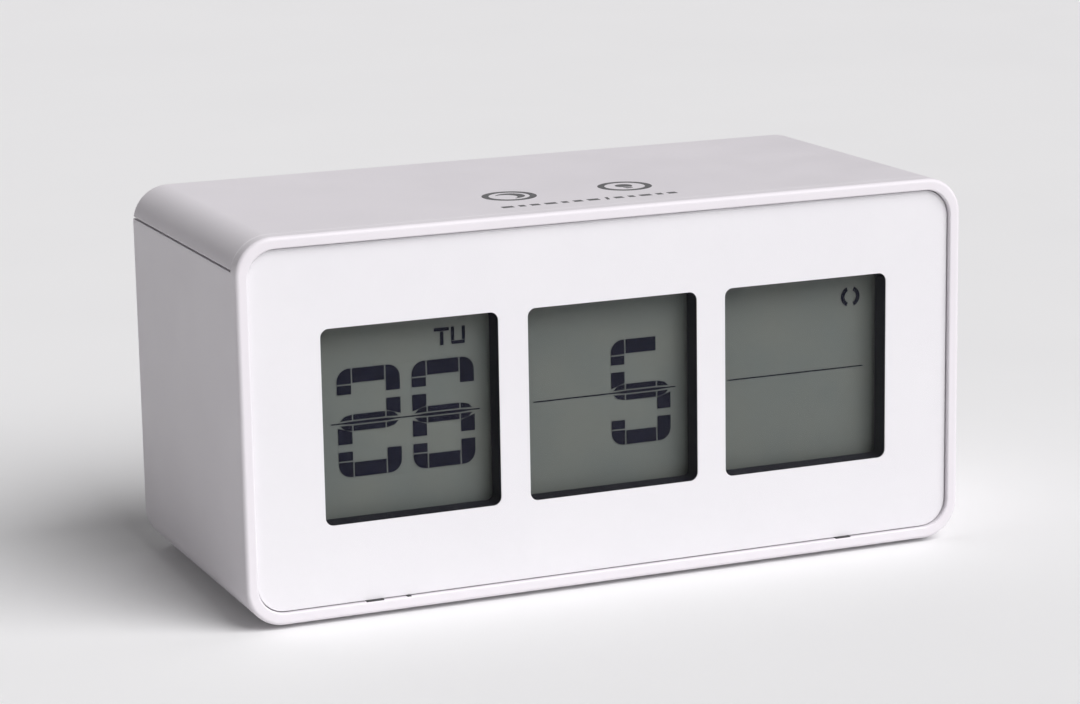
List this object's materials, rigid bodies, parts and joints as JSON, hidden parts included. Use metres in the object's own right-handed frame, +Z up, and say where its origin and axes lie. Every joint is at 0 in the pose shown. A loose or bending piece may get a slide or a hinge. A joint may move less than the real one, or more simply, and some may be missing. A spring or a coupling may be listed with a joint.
{
  "type": "desktop calendar alarm clock",
  "caption": "White box-shaped desktop clock with display windows in front, a snooze cover on top, and buttons, a slide switch and a battery bay at the back.",
  "frame": {"origin": "centre of the bounding box's footprint, on the surface the feet stand on", "axes": "+Z up, +Y towards the back, +X along the width to the viewer's right; the windows face -Y"},
  "size_m": [0.165, 0.074, 0.0816],
  "materials": {
    "white_plastic": "satin moulded ABS",
    "clear_acrylic": "polished",
    "white_print": "printed layer",
    "black_plastic": "fine matt",
    "lcd_glass": "reflective display glass",
    "diffuser_plastic": "frosted",
    "circuit_board": "solder mask",
    "steel": "plated",
    "grey_rubber": "matt",
    "led_body": "epoxy",
    "red_wire": "insulation",
    "black_wire": "insulation",
    "grey_ribbon": "insulation",
    "cell_jacket": "printed jacket",
    "button_grey": "fine matt"
  },
  "bodies": {
    "clock_body": {"casing": "white_plastic", "front_lens": "clear_acrylic", "front_mask": "white_print", "display_frame": "black_plastic", "back_cover": "white_plastic", "light_diffuser": "diffuser_plastic", "main_board": "circuit_board", "rear_board": "circuit_board", "controller_chip": "black_plastic", "crystal": "steel", "buzzer": "black_plastic", "alarm_switch": "black_plastic", "ribbon_cable": "grey_ribbon", "battery_lead_positive": "red_wire", "battery_lead_negative": "black_wire", "contact_bridge": "steel", "contact_positive": "steel", "contact_negative": "steel", "lcd_left": "lcd_glass", "connector_left": "grey_rubber", "lcd_middle": "lcd_glass", "connector_middle": "grey_rubber", "lcd_right": "lcd_glass", "connector_right": "grey_rubber", "backlight_left": "led_body", "snooze_switch_left": "black_plastic", "pivot_pin_left": "steel", "back_screw_left_low": "steel", "frame_screw_left_low": "steel", "back_screw_left_high": "steel", "frame_screw_left_high": "steel", "backlight_right": "led_body", "snooze_switch_right": "black_plastic", "pivot_pin_right": "steel", "back_screw_right_low": "steel", "frame_screw_right_low": "steel", "back_screw_right_high": "steel", "frame_screw_right_high": "steel", "mode_switch": "black_plastic", "up_switch": "black_plastic", "down_switch": "black_plastic", "cell_1": "cell_jacket", "contact_spring_1": "steel", "cell_2": "cell_jacket", "contact_spring_2": "steel", "foot_1": "grey_rubber", "foot_2": "grey_rubber", "foot_3": "grey_rubber", "foot_4": "grey_rubber"},
    "snooze_cover": {"top_cover": "white_plastic"},
    "snooze_plunger_left": {"snooze_plunger_left": "black_plastic"},
    "snooze_plunger_right": {"snooze_plunger_right": "black_plastic"},
    "battery_lid": {"battery_door": "white_plastic"},
    "alarm_slide": {"alarm_slider": "button_grey"},
    "mode_key": {"mode_button": "button_grey", "mode_switch_plunger": "button_grey"},
    "up_key": {"up_button": "button_grey", "up_switch_plunger": "button_grey"},
    "down_key": {"down_button": "button_grey", "down_switch_plunger": "button_grey"}
  },
  "joints": [
    {"name": "snooze_cover_press", "type": "hinge", "parent": "clock_body", "child": "snooze_cover", "pos_m": [0, 0.03, 0.0772], "axis": [1, 0, 0], "range_deg": [0, 0.4], "stiffness_Nm_per_rad": 15, "springref_deg": -0.23},
    {"name": "snooze_plunger_left_travel", "type": "slide", "parent": "clock_body", "child": "snooze_plunger_left", "axis": [0, 0, -1], "range_m": [0, 0.0005]},
    {"name": "snooze_plunger_right_travel", "type": "slide", "parent": "clock_body", "child": "snooze_plunger_right", "axis": [0, 0, -1], "range_m": [0, 0.0005]},
    {"name": "mode_button_press", "type": "slide", "parent": "clock_body", "child": "mode_key", "axis": [0, -1, 0], "range_m": [0, 0.0008], "stiffness_N_per_m": 1500},
    {"name": "up_button_press", "type": "slide", "parent": "clock_body", "child": "up_key", "axis": [0, -1, 0], "range_m": [0, 0.0008], "stiffness_N_per_m": 1500},
    {"name": "down_button_press", "type": "slide", "parent": "clock_body", "child": "down_key", "axis": [0, -1, 0], "range_m": [0, 0.0008], "stiffness_N_per_m": 1500},
    {"name": "alarm_slider_travel", "type": "slide", "parent": "clock_body", "child": "alarm_slide", "axis": [1, 0, 0], "range_m": [0, 0.003]},
    {"name": "battery_door_swing", "type": "hinge", "parent": "clock_body", "child": "battery_lid", "pos_m": [0, 0.0341, 0.0449], "axis": [1, 0, 0], "range_deg": [0, 75]}
  ],
  "couplings": [
    {"joint": "snooze_plunger_left_travel", "follows": "snooze_cover_press", "m_per_rad": 0.0511},
    {"joint": "snooze_plunger_right_travel", "follows": "snooze_cover_press", "m_per_rad": 0.0511}
  ]
}
